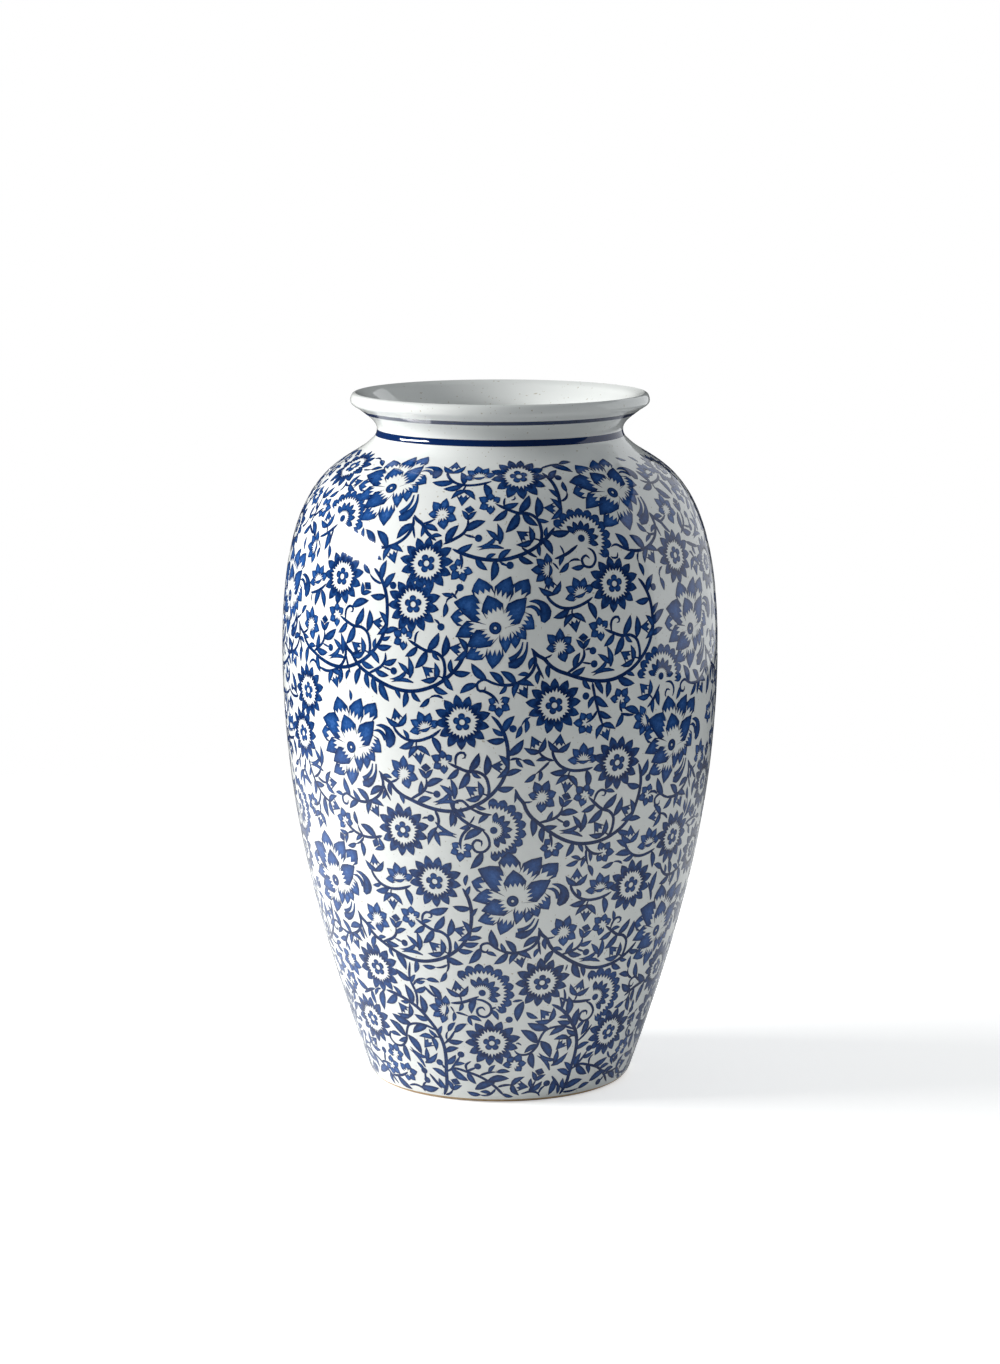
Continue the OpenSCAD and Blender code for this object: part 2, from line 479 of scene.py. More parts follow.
def footRing():
    # The ring's outside is drawn in at the table, and its edges are softened
    side = ringPoints(["foot_ring"])[0]
    face = side[side[:, 1] < 0.01][:, 0]
    bore, top = side[:, 0].min(), side[:, 1].max()
    wall = outerPoints[0, 0] - turning["coat"]
    outline = np.array([
        [bore, top], [bore, 1.1], [bore + 0.25, 0.4], [face.min(), 0], [face.max() - 0.2, 0],
        [face.max() + 0.6, 0.12], [wall - 0.35, 0.75], [wall, 1.6], [wall + 1.2, 3.6],
        [side[:, 0].max(), top],
    ])
    turned("footRing", outline, True, firedClay, ["foot_ring"])


def recessGlaze():
    # A thin disc, from the axis out along its underside and back along its top
    low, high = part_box("recess_glaze")
    out = np.linspace(0, high.x / mm, 7)
    disc = np.concatenate([
        np.stack([out, np.full(7, low.z / mm)], 1), np.stack([out, np.full(7, high.z / mm)], 1)[::-1],
    ])
    turned("recessGlaze", disc, False, whiteGlaze, ["recess_glaze"], 160)


coatOutside()
coatInside()
footRing()
recessGlaze()
for name in ("base_plate", "lower_wall", "belly_wall", "shoulder_wall", "neck_collar", "lip_roll"):
    for slot in nodes[name].material_slots:
        slot.material = innerClay
print("stage: clay and glaze are turned")

# Print is laid out flat, as u round the vase and v up it, both in mm at the belly's radius. The angle is
# u / radius, and v grows by belly radius / r for each mm climbed, so that shapes keep their proportions.

sheetFoot = 4.5  # v at the lowest edge of the glaze


def makeSheet():
    # The skin's outline in fine steps, with v and the outward direction at each
    fine = hermite(outerPoints, np.arange(0, lengthOf(outerPoints), 0.4))
    r, z = fine.T
    belly = r.max()
    climb = np.append(0, np.cumsum(np.hypot(*np.diff(fine, axis=0).T) * belly / ((r[1:] + r[:-1]) / 2)))
    outR, outZ = squareTo(fine).T
    return {"belly": belly, "v": climb + sheetFoot, "r": r, "z": z, "outR": outR, "outZ": outZ}


sheet = makeSheet()
girth = 2 * np.pi * sheet["belly"]


def onSkin(u, v, lift):
    # The point of the skin at (u, v), raised by lift square to it, and the skin's direction there
    r, z, outR, outZ = (np.interp(v, sheet["v"], sheet[k]) for k in ("r", "z", "outR", "outZ"))
    angle = u / sheet["belly"]
    reach = r + lift * outR
    point = np.stack([reach * np.sin(angle), -reach * np.cos(angle), z + lift * outZ], -1)
    return point, np.stack([outR * np.sin(angle), -outR * np.cos(angle), outZ], -1)


def stretchAt(v):
    # How much a length in mm grows on the flat sheet at v
    return sheet["belly"] / np.interp(v, sheet["v"], sheet["r"])


printed = {}  # piece name: lists of points, directions, faces and ink
filmSink = 0.03  # depth of the underside of the print below the skin
# height of each kind of print above the skin
lifts = {
    "vines": 0.05, "leaves": 0.06, "buds": 0.065, "stars": 0.07, "fans": 0.075, "asters": 0.08,
    "lilies": 0.09, "neckLine": 0.05, "lipLine": 0.05,
}


def lay(piece, u, v, ink, wraps=False):
    # u and v are (count, rows, columns). Each grid becomes a thin closed film: its top at the piece's lift,
    # its underside a little below the glaze, and a strip of quads round each rim.
    count, rows, columns = u.shape
    top, facing = onSkin(u, v, lifts[piece])
    under, _ = onSkin(u, v, -filmSink)
    points = np.stack([top, under], 1).reshape(-1, 3)
    directions = np.stack([facing, facing], 1).reshape(-1, 3)
    size, corner = rows * columns, (rows - 1) * columns
    over = gridQuads(rows, columns, wraps, False)
    if wraps:
        a = np.arange(columns)
        b = (a + 1) % columns
        first, second = np.concatenate([a, corner + b]), np.concatenate([b, corner + a])
    else:
        first = np.concatenate([
            np.arange(columns - 1), np.arange(rows - 1) * columns + columns - 1,
            corner + np.arange(columns - 1, 0, -1), np.arange(rows - 1, 0, -1) * columns,
        ])
        second = np.roll(first, -1)
    rim = np.stack([first + size, second + size, second, first], -1)
    faces = np.concatenate([over, over[:, ::-1] + size, rim])
    faces = (faces[None] + (np.arange(count) * 2 * size)[:, None, None]).reshape(-1, 4)
    store = printed.setdefault(piece, {"points": [], "directions": [], "faces": [], "ink": [], "count": 0})
    store["points"].append(points)
    store["directions"].append(directions)
    store["faces"].append(faces + store["count"])
    store["ink"].append(np.broadcast_to(ink, (count, 2, rows, columns)).reshape(-1))
    store["count"] += len(points)


# Printed shapes, each drawn in mm round its own origin. A shape is a list of parts, and a part is a grid of
# points (rows, columns, 2) with its ink values.


def part(piece, grid, ink, wraps=False):
    # Columns are turned round if needed, so that every face looks outwards
    side = grid[:, 1:] - grid[:, :-1]
    rise = grid[1:] - grid[:-1]
    turn = (side[:-1, :, 0] * rise[:, :-1, 1] - side[:-1, :, 1] * rise[:, :-1, 0]).sum()
    if turn < 0:
        grid, ink = grid[:, ::-1], ink[:, ::-1]
    return {"piece": piece, "grid": grid, "ink": ink, "wraps": wraps}


def saw(x, power=1.0):
    # 0 at whole numbers and 1 halfway between them
    return (1 - np.abs(2 * (x % 1) - 1)) ** power


def petal(piece, left, tip, right, swell=(0.0, 0.0), fringe=0.0, fingers=2, hollow=0.0, rows=4, shade=0.6):
    # A pointed petal. Its sides run from the base corners to the tip and bow out by swell mm:
    # side(t) = base + t (tip - base) + swell sin(pi t^0.7) n. Columns lie at shares s between the sides.
    # Those between start at t = hollow, and every other one at hollow + fringe, which makes a fringed base.
    # Ink is 1 - shade sin(pi s) sin(pi t), so it is thickest at the rim.
    columns = 2 * fingers + 1
    s = np.linspace(0, 1, columns)[None, :]
    start = hollow * np.minimum(1, 6 * s * (1 - s)) + fringe * (np.arange(columns) % 2)[None, :]
    t = start + (0.975 - start) * np.linspace(0, 1, rows)[:, None]
    left, tip, right = (np.array(p, float) for p in (left, tip, right))

    def side(base, bow, hand):
        axis = tip - base
        out = np.array([-axis[1], axis[0]]) / np.hypot(*axis) * hand
        return base + t[..., None] * axis + (bow * np.sin(np.pi * t**0.7))[..., None] * out

    grid = side(left, swell[0], 1) * (1 - s[..., None]) + side(right, swell[1], -1) * s[..., None]
    ink = 1 - shade * np.sin(np.pi * s) ** 0.8 * np.sin(np.pi * np.clip(t, 0, 1) ** 0.9)
    return part(piece, grid, ink)


def spear(piece, base, tip, halfWidth, bow=0.0, rows=5, shade=0.5):
    # A narrow leaf or petal, pointed at both ends: its half width goes as sin(pi t), and its spine bows
    # sideways by bow sin(pi t)
    base, tip = np.array(base, float), np.array(tip, float)
    axis = tip - base
    out = np.array([-axis[1], axis[0]]) / np.hypot(*axis)
    t = np.linspace(0, 1, rows)[:, None]
    half = halfWidth * np.sin(np.pi * (0.06 + 0.92 * t) ** 0.85)
    x = np.array([1.0, 0.0, -1.0])[None, :]
    across = x * half + bow * np.sin(np.pi * t)
    grid = base + t[..., None] * axis + across[..., None] * out
    ink = 1 - shade * (1 - np.abs(x)) * np.sin(np.pi * t)
    return part(piece, grid, ink)


def blade(piece, points, widths, rows=8):
    # A brush stroke along a smooth curve through the points, as wide to each side as the widths say
    spine = np.array(points, float)
    length = lengthOf(spine)
    where = np.linspace(0, length, rows)
    line = hermite(spine, where)
    half = np.interp(where / length, np.linspace(0, 1, len(widths)), widths)
    across = squareTo(line) * half[:, None]
    grid = line[:, None] + np.array([-1, 0, 1])[None, :, None] * across[:, None]
    ink = np.broadcast_to(np.array([1.0, 0.7, 1.0]), grid.shape[:2])
    return part(piece, grid, ink)


def ring(piece, outer, inner, columns, rows=2, start=0.0, sweep=360.0, ink=(1.0, 1.0)):
    # A band between an outer and an inner radius, both functions of the angle in degrees. Row 0 is the outer
    # rim, and ink gives the tone from there inwards.
    wraps = sweep == 360
    angle = start + sweep * np.arange(columns) / (columns if wraps else columns - 1)
    share = np.linspace(0, 1, rows)[:, None]
    radius = outer(angle) * (1 - share) + inner(angle) * share
    grid = radius[..., None] * np.stack([np.cos(np.radians(angle)), np.sin(np.radians(angle))], -1)
    tone = np.interp(share, np.linspace(0, 1, len(ink)), ink) * np.ones_like(radius)
    return part(piece, grid, tone, wraps)


def dot(piece, x, y, radius, rows=7):
    # A disc cut into strips from its lower to its upper edge, which are cut off flat
    a = np.radians(np.linspace(-78, 78, rows))[:, None]
    across, up = np.cos(a) * np.array([[-1, 1]]), np.sin(a) * np.array([[1, 1]])
    grid = np.stack([x + radius * across, y + radius * up], -1)
    return part(piece, grid, np.full(grid.shape[:2], 0.85))


asterForm = {
    "radius": 12.0,  # to the petals' tips
    "notch": 8.5,  # to the corners between them
    "ringIn": 5.5,  # inner edge of the petals, at its nearest
    "fringe": 2.1,
    "petals": 13,
    "spikes": 26,
    "heart": 3.9,
}


def makeAster(form):
    # A ring whose rims rise and fall as pointed waves of the angle, round a heart of five lobes
    petals, spikes = form["petals"], form["spikes"]
    tip = form["radius"] - form["notch"]

    def outer(a):
        wobble = 1 + 0.03 * np.sin(np.radians(3 * a + 40)) + 0.025 * np.sin(np.radians(5 * a))
        return (form["notch"] + tip * saw(petals * a / 360, 0.75)) * wobble

    def inner(a):
        uneven = 0.7 + 0.3 * np.sin(np.radians(7 * a + 20))
        return form["ringIn"] + form["fringe"] * uneven * saw(spikes * a / 360, 1.5)

    def lobes(a):
        return form["heart"] * (0.58 + 0.42 * np.abs(np.cos(np.radians(2.5 * a - 45))) ** 0.5)

    return [
        ring("asters", outer, inner, petals * 8, 4, ink=(1.0, 0.7, 0.95, 1.0)),
        ring("asters", lobes, lambda a: 1.2 + 0 * a, 40, 3, ink=(1.0, 0.55, 1.0)),
    ]


lilyPetals = [
    # left base corner, tip, right base corner, bows, fringe, fingers, hollow
    ((-3.5, 3.6), (-3.4, 13.9), (3.5, 5.9), (2.4, 2.7), 0.17, 5, 0.12),
    ((3.4, 6.1), (13.4, 12.9), (3.9, 0.1), (2.4, 4.1), 0.17, 5, 0.10),
    ((-3.6, 1.4), (-17.8, 10.6), (-5.2, 9.8), (2.3, 4.1), 0.13, 5, 0.12),
    ((-8.4, 12.2), (-7.2, 21.2), (-0.2, 14.0), (2.2, 1.8), 0.20, 4, 0.10),
    ((-0.6, 12.9), (6.8, 22.0), (5.7, 10.9), (2.7, 1.8), 0.24, 4, 0.06),
    ((5.9, 13.6), (14.3, 20.8), (12.0, 12.4), (2.7, 2.4), 0.24, 3, 0.10),
    ((12.0, 6.8), (16.5, -0.6), (9.4, 0.4), (2.2, 0.8), 0.26, 4, 0.10),
    ((11.0, 0.8), (12.9, -4.9), (6.8, -1.2), (1.3, 1.3), 0.28, 3, 0.06),
    ((9.6, -1.8), (8.3, -8.7), (6.2, -1.6), (1.6, 1.2), 0.28, 2, 0.06),
    ((6.5, -2.2), (4.3, -10.6), (1.8, -2.3), (1.2, 1.1), 0.24, 3, 0.10),
    ((2.9, -7.4), (-1.2, -17.2), (-3.3, -8.2), (2.2, 1.6), 0.26, 4, 0.08),
    ((1.6, -3.4), (-12.0, -7.9), (-3.2, -0.5), (3.0, 2.9), 0.17, 5, 0.12),
    ((-7.6, -3.6), (-16.8, -4.0), (-7.2, 2.8), (0.5, 3.0), 0.22, 4, 0.08),
    ((-13.2, 0.6), (-19.0, 4.4), (-11.8, 7.8), (1.4, 1.8), 0.28, 3, 0.08),
    ((-2.9, -10.2), (-12.4, -12.9), (-7.6, -7.0), (2.3, 1.3), 0.22, 4, 0.10),
]


def makeLily():
    # The petals above round a small ring off to one side, with two curled drops
    parts = [petal("lilies", *shape, shade=0.58) for shape in lilyPetals]
    parts.append(ring("lilies", lambda a: 2.6 + 0 * a, lambda a: 0.6 + 0 * a, 20, 3, ink=(1.0, 0.7, 0.9)))
    # each drop is two strokes that meet at the head
    parts += [
        blade("lilies", [(14.3, 11.1), (17.4, 11.0), (20.2, 9.3), (21.3, 6.6), (20.8, 4.2), (19.9, 2.2)],
              (0.15, 0.8, 1.2, 1.9, 2.5, 2.3, 0.9), 13),
        blade("lilies", [(12.8, 8.6), (15.4, 8.9), (17.6, 7.6), (18.9, 5.2)], (0.15, 0.75, 0.95, 1.0), 8),
        blade("lilies", [(13.3, -5.8), (12.9, -9.6), (11.2, -12.8), (8.6, -14.8), (5.4, -15.4)],
              (0.3, 0.5, 0.8, 1.5, 2.1, 1.1), 12),
        blade("lilies", [(11.5, -5.8), (10.7, -9), (8.6, -11.6), (5.8, -13.2)], (0.25, 0.55, 0.95, 1.0), 8),
    ]
    return parts


def makeFan():
    # A comb of pointed petals round a knob, and a wider one behind it, opening upwards. The radius rises
    # from notch to tips and back, count times over the sweep.
    def comb(tips, notch, count, span, power):
        return lambda a: notch + (tips - notch) * saw(count * (a - span[0]) / span[1], power)

    wide, near = (-8, 196), (0, 182)  # first angle and sweep
    wideRims = comb(14.2, 12.2, 10, wide, 0.5), comb(11, 9.3, 20, wide, 1.4)
    nearRims = comb(8.2, 5.9, 7, near, 0.7), comb(4.3, 3.2, 14, near, 1.4)
    return [
        ring("fans", *wideRims, 81, 3, *wide, (0.9, 0.6, 1.0)),
        ring("fans", *nearRims, 57, 3, *near, (1.0, 0.65, 1.0)),
        dot("fans", 0, 0.2, 1.6),
    ]


def around(piece, petals, base, fringe, fingers):
    # Petals at (angle, reach, half width) round the origin, each with its base at radius base
    parts = []
    for angle, reach, width in petals:
        a = np.radians(angle)
        out, side = np.array([np.cos(a), np.sin(a)]), np.array([-np.sin(a), np.cos(a)]) * width * 0.7
        left, right = out * base + side, out * base - side
        parts.append(petal(piece, left, out * reach, right, (width * 0.8, width * 0.8), fringe, fingers))
    return parts


starPetals = [(136, 7.9, 1.9), (90, 8, 1.8), (38, 6.5, 1.9), (-17, 7, 1.9), (-72, 7, 2.0), (186, 6.2, 1.7)]
halfPetals = [(172, 7.4, 1.6), (131, 7.6, 1.7), (90, 8, 1.9), (50, 7.4, 1.7), (8, 7.4, 1.6)]
smallPetals = [(7, 5.2, 1.6), (66, 6.0, 1.7), (125, 5.5, 1.7), (182, 5.4, 1.6), (-50, 4.8, 1.6)]


def makeTulip():
    # A cup of two curved petals, and a third between them that joins both round a white heart
    return [
        spear("buds", (0.5, -0.9), (-5.0, 4.0), 1.4, 0.8),
        spear("buds", (-0.5, -0.9), (5.0, 3.8), 1.4, -0.8),
        petal("buds", (-3.4, 1.6), (0.1, 7.2), (3.4, 1.6), (0.0, 0.0), 0.26, 3, rows=4, shade=0.4),
    ]


def makeCrown():
    # A leaf of several points over one long blade; its origin is where they meet at the right
    return [
        spear("buds", (0.2, -0.8), (-1.5, 8.2), 1.4, -0.9),
        spear("buds", (-0.2, 0.6), (-6.0, 5.0), 1.25, -0.3),
        spear("buds", (-1.2, 2.6), (-9.2, -2.8), 1.05, 1.5),
        spear("buds", (2.0, -2.4), (-8.4, -4.0), 0.95, -1.2),
    ]


def makeTrio():
    # A diamond over two small leaves
    return [
        petal("buds", (-2.3, 4.5), (0.0, 6.4), (2.3, 4.5), (0.1, 0.1), rows=3, shade=0.3),
        petal("buds", (2.3, 4.5), (0.0, 2.6), (-2.3, 4.5), (0.1, 0.1), rows=3, shade=0.3),
        spear("buds", (-0.1, -0.2), (-3.3, 3.8), 1.15, -0.4),
        spear("buds", (0.1, -0.2), (3.2, 3.9), 1.15, 0.4),
    ]


def makeLeaf(side, length=7.6):
    # A pointed leaf that rises from its origin, as wide as sin(pi t), and leans to one side
    t = np.linspace(0, 1, 7)[:, None]
    half = 0.1 + 1.38 * np.sin(np.pi * t**0.85) ** 0.85
    half[0], half[-1] = 0.22, 0.05
    x = np.array([-1.0, 0.0, 1.0])[None, :]
    grid = np.stack([x * half + side * 0.7 * np.sin(np.pi * t * 0.9), length * t + 0 * x], -1)
    ink = 1 - 0.45 * (1 - np.abs(x)) * np.sin(np.pi * t)
    return [part("leaves", grid, ink)]


shapes = {
    "aster": makeAster(asterForm),
    "lily": makeLily(),
    "fan": makeFan(),
    "star": around("stars", starPetals, 1.7, 0.24, 3),
    "halfLily": around("stars", halfPetals, 2.0, 0.25, 3) + [spear("stars", (-3, 0.2), (3, 0.2), 0.8, -0.9)],
    "smallStar": around("buds", smallPetals, 1.1, 0.24, 2),
    "tulip": makeTulip(),
    "crown": makeCrown(),
    "trio": makeTrio(),
    "leafLeft": makeLeaf(-1),
    "leafRight": makeLeaf(1),
    "berry": [dot("leaves", 0, 0, 1.6)],
}


def filled(grid, gap=0.45):
    # Points spread over a grid's quads, no farther apart than gap
    side = max(np.abs(np.diff(grid, axis=0)).max(), np.abs(np.diff(grid, axis=1)).max())
    share = np.linspace(0, 1, int(side / gap) + 2)
    a, b = share[:, None, None, None, None], share[None, :, None, None, None]
    low = (1 - b) * grid[:-1, :-1] + b * grid[:-1, 1:]
    high = (1 - b) * grid[1:, :-1] + b * grid[1:, 1:]
    return ((1 - a) * low + a * high).reshape(-1, 2)


def discPoints(radius, x, y):
    # Points on a square grid that lie within radius of (x, y)
    side = np.arange(-radius, radius + 0.1, 0.45)
    across, along = np.meshgrid(side, side)
    kept = np.hypot(across, along) <= radius
    return np.stack([across[kept] + x, along[kept] + y], -1)


# What each shape covers, with its white parts as discs of (radius, x, y)
covers = {name: np.concatenate([filled(p["grid"]) for p in parts]) for name, parts in shapes.items()}
whiteParts = {
    "aster": [(8, 0, 0)],
    "lily": [(7, 0, 0), (6, 0, 9), (6, 7, 11), (5, -2, -7), (5, -9, 3), (5, 8, -1), (4, -7, 12)],
    "fan": [(6, 0, 3), (5, -6, 5), (5, 6, 5)], "star": [(4, 0.5, 0.5)], "halfLily": [(3.5, 0, 2.5)],
    "smallStar": [(2.4, 0, 0)], "tulip": [(2.0, 0, 2.2)], "crown": [(2.5, -3.5, 1)], "trio": [(1.2, 0, 2)],
}
for name, discs in whiteParts.items():
    covers[name] = np.concatenate([covers[name]] + [discPoints(*disc) for disc in discs])
print("stage: printed shapes are drawn")

# Laying the print on the sheet

cell = 0.5  # side of the squares that note what is printed already
topEdge = 351.0  # the print stops here, on the shoulder
bottomEdge = 5.5
largeFlowers = ("lily", "aster", "fan")
# squares with print in them or close by, and squares under large flowers, which vines don't cross
nearInk = np.zeros((int(girth / cell) + 2, int(sheet["v"][-1] / cell) + 2), bool)
flowered = np.zeros_like(nearInk)
spots = {name: [] for name in shapes}
strokes = []


def cellsOf(u, v):
    # Squares that the points (u, v) fall in; u goes round and round
    return ((u % girth) / cell).astype(int), np.clip((v / cell).astype(int), 0, nearInk.shape[1] - 1)


def spread(x, y, u, v, turn, size):
    # Points (x, y) of a shape turned by turn degrees, grown by the sheet's stretch and moved to (u, v)
    grow = size * stretchAt(v)
    c, s = np.cos(np.radians(turn)), np.sin(np.radians(turn))
    return u + grow * (c * x - s * y), v + grow * (s * x + c * y)


def mark(u, v, large=False, gap=0.7):
    # Notes the points and eight places round each as taken
    if large:
        flowered[cellsOf(u, v)] = True
    nearInk[cellsOf(u, v)] = True
    for a in np.radians(range(0, 360, 45)):
        nearInk[cellsOf(u + gap * np.cos(a), v + gap * np.sin(a))] = True


def place(name, u, v, turn=0.0, size=1.0, share=None, rooted=0.0):
    # Adds a shape. With share, only where no more than that share of it would touch what is printed already,
    # apart from its first rooted mm.
    x, y = covers[name].T
    du, dv = spread(x, y, u, v, turn, size)
    if share is not None:
        if dv.max() > topEdge or dv.min() < bottomEdge:
            return False
        taken = nearInk[cellsOf(du, dv)]
        if rooted:
            taken = taken[y * size > rooted]
        if taken.mean() > share:
            return False
    mark(du, dv, name in largeFlowers + ("star", "halfLily"))
    spots[name].append((u, v, turn, size))
    return True


vineStroke = {
    "spacing": 1.1,  # mm from one row of points to the next
    "half": 0.58,  # half width, as a share of the width asked for
    "tip": 0.25,  # width at the ends, as a share of the full width
    "tipLength": 3.0,
    "shortest": 4,  # rows in the shortest stroke worth printing
    "ink": 0.95,
}


def draw(points, width, taper=(1, 1)):
    # A vine along a smooth curve on the sheet. Stretches over large flowers are left out. Its half width
    # grows from the tip as (distance / tip length)^0.6 until it is full.
    points = np.array(points, float)
    length = lengthOf(points)
    where = np.linspace(0, length, max(int(length / vineStroke["spacing"]), vineStroke["shortest"]))
    line = hermite(points, where)
    free = ~flowered[cellsOf(line[:, 0], line[:, 1])] & (line[:, 1] > bottomEdge) & (line[:, 1] < topEdge)
    edges = np.flatnonzero(np.diff(np.concatenate([[0], free.astype(int), [0]])))
    for first, last in zip(edges[::2], edges[1::2]):
        if last - first < vineStroke["shortest"]:
            continue
        run = line[first:last]
        along = where[first:last] - where[first]
        grow = stretchAt(run[:, 1])
        tip, tipLength = vineStroke["tip"], vineStroke["tipLength"] * grow
        full = np.clip(np.minimum(along / taper[0], (along[-1] - along) / taper[1]) / tipLength, 0, 1)
        strokes.append((run, width * vineStroke["half"] * grow * (tip + (1 - tip) * full**0.6)))
        mark(run[:, 0], run[:, 1], gap=0.9)


def onSheet(origin, points):
    # Points of a design carried to its origin = (u, v, turn) on the sheet
    return np.stack(spread(*np.array(points, float).reshape(-1, 2).T, *origin, 1.0), 1)


# How much of each small shape of a design may touch what is printed already, in the order they are placed
underVines = {"star": 0.35, "halfLily": 0.3, "smallStar": 0.35}
onVines = {"crown": 0.4, "trio": 0.4, "tulip": 0.4}
berryShare, leafShare = 0.6, 0.5


def placeSmall(design, origin, shares):
    # Each small shape of a design that isn't over too much of what is printed already
    for name, share in shares.items():
        for x, y, turn in design.get(name, ()):
            (u, v), = onSheet(origin, (x, y))
            place(name, u, v, origin[2] + turn, 1.0, share)


def printGroup(design, origin):
    # A group of vines with the leaves and flowers that belong to it, at origin = (u, v, turn)
    placeSmall(design, origin, underVines)
    for width, points in design["vines"]:
        draw(onSheet(origin, points), width)
    placeSmall(design, origin, onVines)
    for berry in design.get("berry", ()):
        (u, v), = onSheet(origin, berry)
        place("berry", u, v, 0, 1.0, berryShare)
    for k, leaf in enumerate(design["leaves"]):
        leafBetween(*onSheet(origin, leaf), ("leafLeft", "leafRight")[k % 2])


def leafBetween(start, end, name):
    # A leaf from start almost to end
    reach = end - start
    size = np.hypot(*reach) / stretchAt(start[1]) / 7
    place(name, *start, np.degrees(np.arctan2(reach[1], reach[0])) - 90, size, leafShare)


# Vines that swing round the star flower at the lower right of each lily; the origin is the lily's heart
scroll = {
    "star": [(25, -14.8, -10)],
    "smallStar": [(44, -11.5, 80)],
    "vines": [
        (1.4, [(12.9, -12.9), (14.9, -16.2), (17.4, -18.3), (19.3, -21.4), (22.1, -24.2), (26, -26.6),
               (32, -30), (39, -32.7), (46, -33.7), (52, -32.9), (57.6, -31), (63, -27.6), (67.6, -23),
               (70.4, -17.6), (71.8, -11), (71.6, -4), (69.4, 2.4), (66, 7)]),
        (1.2, [(13.2, -14.2), (13.8, -18), (12, -22), (7.4, -25.2), (1.5, -26.3), (-4.3, -25)]),
        (1, [(-1.5, -26.2), (-5.4, -24.2), (-8.8, -22.2), (-11.8, -23.6), (-11.6, -26.4), (-9.2, -26.8),
             (-8.6, -25.2)]),
        (1, [(13.8, -18.4), (14.4, -22), (15.8, -26.4)]),
        (1.05, [(17, -18.2), (19.6, -17.8), (22.4, -16.6)]),
        (1.15, [(25.6, -26.4), (29.6, -24.8), (33, -22.9), (34.8, -20.2), (34.9, -17.6)]),
        (1, [(33, -23.2), (35.4, -24.2), (37.6, -25)]),
        (1.2, [(46, -12.2), (49.3, -14.4), (53.8, -16.9), (57.8, -17.7), (60.5, -19.9), (61.4, -24),
               (60.8, -28), (59.2, -30.6)]),
        (1, [(49, -14.2), (49.2, -11.6), (49.9, -9.6), (51.7, -8.4), (53.7, -9), (53.6, -10.7),
             (52.2, -11)]),
        (1, [(60.4, -29.2), (59.6, -28), (57.6, -27.6)]),
    ],
    "trio": [(34.9, -17.6, -10)],
    "crown": [(45.7, -27.4, -10)],
    "tulip": [(56.8, -28, 49), (70.4, -17.4, 78), (5.4, -26.6, 200)],
    "berry": [(38.4, -25.2), (75.4, -1.5)],
    "leaves": [
        ((50.1, -15.2), (44.5, -18.7)), ((54.4, -16.9), (59.1, -10)), ((54.2, -17), (48.6, -23.4)),
        ((60.9, -19.6), (62.5, -11.4)), ((69.4, -21), (75.8, -20)), ((64.6, -26.4), (71.5, -26.4)),
        ((71.6, -5.6), (64.4, -4.6)), ((4.2, -26.4), (-1, -20.6)), ((43.6, -33.4), (41.6, -40)),
        ((28, -27.6), (29.6, -34.6)), ((71, -2.4), (76.6, 3.2)), ((21.6, -24), (19, -31)),
    ],
}

# The twig that runs to the left of an aster; the origin is the aster's heart
twig = {
    "halfLily": [(-16.4, -0.6, 12)],
    "vines": [
        (1.15, [(-8.6, -1), (-12.8, -3.6), (-17, -4.9), (-21.6, -5.3), (-26.2, -4), (-29.8, -0.6),
                (-31.4, 3)]),
        (0.95, [(-13.4, -3.6), (-15, -1.8), (-16.2, 0)]),
        (0.95, [(-21.2, -5.4), (-22, -7.4), (-21.6, -9.2)]),
    ],
    "tulip": [(-21.6, -8.6, 180), (-28.4, 2.6, 5)],
    "leaves": [
        ((-14, -4.4), (-12.4, -11.8)), ((-22.2, -5), (-24.8, 1.8)), ((-22.6, -5.6), (-29.6, -7.2)),
        ((-30.2, 0), (-35.4, 3.2)),
    ],
}

# The stalk, coil and small flowers that go with a fan; the origin is its knob, and it faces up and right
stalk = {
    "halfLily": [(-16.8, -9.6, 78)],
    "vines": [
        (1.25, [(-0.6, -1.2), (-4, -3), (-9, -5), (-13.8, -5.6), (-18.4, -4.8), (-22.6, -2), (-26, 1.6)]),
        (1, [(-3.6, -3), (0.6, -3.8), (3.6, -6.4), (3.6, -10), (1, -12.2), (-2, -11), (-2.2, -8.2),
             (0, -7.2), (1.2, -8.8)]),
        (1.05, [(-16.8, -5.4), (-14.2, -7.8), (-13, -10.2)]),
        (0.95, [(-9.2, -5), (-9.4, -2.6), (-10, -0.8)]),
    ],
    "tulip": [(-10, -1.2, 10)],
    "leaves": [((-21.6, -3), (-19.4, -10)), ((-18.4, -4.8), (-23.2, 1.8)), ((-25, 1), (-31, -1.4))],
}

